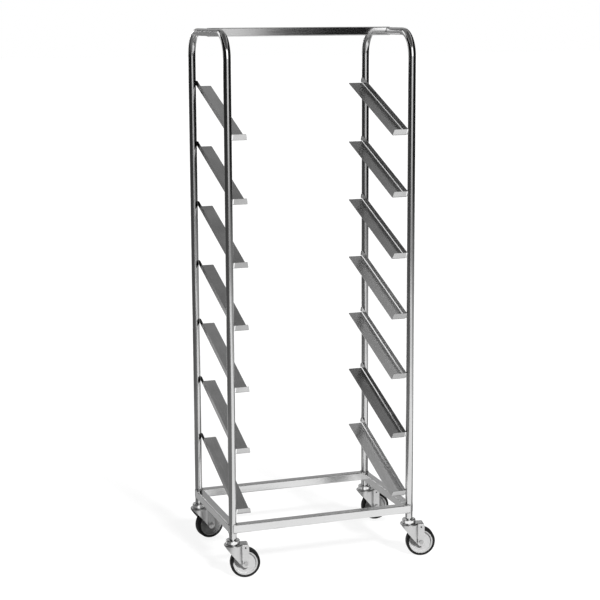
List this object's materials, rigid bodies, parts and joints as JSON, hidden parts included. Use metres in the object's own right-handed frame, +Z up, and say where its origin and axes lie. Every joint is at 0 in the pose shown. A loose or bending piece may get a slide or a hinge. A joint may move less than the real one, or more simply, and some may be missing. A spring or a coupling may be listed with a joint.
{
  "type": "box trolley",
  "caption": "Tall box trolley: two bent tube side frames joined by a top tie and a square base, with pairs of sloping rails that hold boxes, on swivel castors.",
  "frame": {"origin": "on the floor, midway between the four uprights' centre lines, which are also the swivel axes", "axes": "+Z up, -Y to the front, where the rails end in stops, and +X to the right as seen from the front"},
  "size_m": [0.7535, 0.486, 1.8015],
  "materials": {
    "tube_steel": "polished steel tube",
    "rail_steel": "satin sheet steel",
    "castor_zinc": "bright zinc plate",
    "bolt_zinc": "bright zinc plate",
    "pin_steel": "turned steel",
    "ball_steel": "polished bearing steel",
    "wheel_plastic": "light grey moulded plastic",
    "tyre_rubber": "dark rubber, satin"
  },
  "bodies": {
    "frame": {"left_side_frame": "tube_steel", "right_side_frame": "tube_steel", "top_tie_tube": "tube_steel", "base_front_bar": "tube_steel", "base_rear_bar": "tube_steel", "base_left_bar": "tube_steel", "base_right_bar": "tube_steel", "rail_left_1": "rail_steel", "rail_right_1": "rail_steel", "rail_left_2": "rail_steel", "rail_right_2": "rail_steel", "rail_left_3": "rail_steel", "rail_right_3": "rail_steel", "rail_left_4": "rail_steel", "rail_right_4": "rail_steel", "rail_left_5": "rail_steel", "rail_right_5": "rail_steel", "rail_left_6": "rail_steel", "rail_right_6": "rail_steel", "rail_left_7": "rail_steel", "rail_right_7": "rail_steel", "front_left_castor_stem": "pin_steel", "front_left_castor_head": "castor_zinc", "front_right_castor_stem": "pin_steel", "front_right_castor_head": "castor_zinc", "rear_left_castor_stem": "pin_steel", "rear_left_castor_head": "castor_zinc", "rear_right_castor_stem": "pin_steel", "rear_right_castor_head": "castor_zinc"},
    "front_left_swivel": {"front_left_castor_fork": "castor_zinc", "front_left_castor_balls": "ball_steel", "front_left_castor_axle_sleeve": "pin_steel", "front_left_castor_axle_bolt": "bolt_zinc", "front_left_castor_axle_nut": "bolt_zinc"},
    "front_left_wheel": {"front_left_castor_wheel": "wheel_plastic", "front_left_castor_tyre": "tyre_rubber"},
    "front_right_swivel": {"front_right_castor_fork": "castor_zinc", "front_right_castor_balls": "ball_steel", "front_right_castor_axle_sleeve": "pin_steel", "front_right_castor_axle_bolt": "bolt_zinc", "front_right_castor_axle_nut": "bolt_zinc"},
    "front_right_wheel": {"front_right_castor_wheel": "wheel_plastic", "front_right_castor_tyre": "tyre_rubber"},
    "rear_left_swivel": {"rear_left_castor_fork": "castor_zinc", "rear_left_castor_balls": "ball_steel", "rear_left_castor_axle_sleeve": "pin_steel", "rear_left_castor_axle_bolt": "bolt_zinc", "rear_left_castor_axle_nut": "bolt_zinc"},
    "rear_left_wheel": {"rear_left_castor_wheel": "wheel_plastic", "rear_left_castor_tyre": "tyre_rubber"},
    "rear_right_swivel": {"rear_right_castor_fork": "castor_zinc", "rear_right_castor_balls": "ball_steel", "rear_right_castor_axle_sleeve": "pin_steel", "rear_right_castor_axle_bolt": "bolt_zinc", "rear_right_castor_axle_nut": "bolt_zinc"},
    "rear_right_wheel": {"rear_right_castor_wheel": "wheel_plastic", "rear_right_castor_tyre": "tyre_rubber"}
  },
  "joints": [
    {"name": "front_left_swivel_turn", "type": "hinge", "parent": "frame", "child": "front_left_swivel", "pos_m": [-0.3165, -0.207, 0.131], "axis": [0, 0, 1], "continuous": true},
    {"name": "front_left_wheel_spin", "type": "hinge", "parent": "front_left_swivel", "child": "front_left_wheel", "pos_m": [-0.27699, -0.21326, 0.05], "axis": [0.1564, 0.9877, 0], "continuous": true},
    {"name": "front_right_swivel_turn", "type": "hinge", "parent": "frame", "child": "front_right_swivel", "pos_m": [0.3165, -0.207, 0.131], "axis": [0, 0, 1], "continuous": true},
    {"name": "front_right_wheel_spin", "type": "hinge", "parent": "front_right_swivel", "child": "front_right_wheel", "pos_m": [0.35547, -0.216, 0.05], "axis": [0.225, 0.9744, 0], "continuous": true},
    {"name": "rear_left_swivel_turn", "type": "hinge", "parent": "frame", "child": "rear_left_swivel", "pos_m": [-0.3165, 0.207, 0.131], "axis": [0, 0, 1], "continuous": true},
    {"name": "rear_left_wheel_spin", "type": "hinge", "parent": "rear_left_swivel", "child": "rear_left_wheel", "pos_m": [-0.27711, 0.21395, 0.05], "axis": [-0.1736, 0.9848, 0], "continuous": true},
    {"name": "rear_right_swivel_turn", "type": "hinge", "parent": "frame", "child": "rear_right_swivel", "pos_m": [0.3165, 0.207, 0.131], "axis": [0, 0, 1], "continuous": true},
    {"name": "rear_right_wheel_spin", "type": "hinge", "parent": "rear_right_swivel", "child": "rear_right_wheel", "pos_m": [0.3564, 0.20421, 0.05], "axis": [0.0698, 0.9976, 0], "continuous": true}
  ]
}
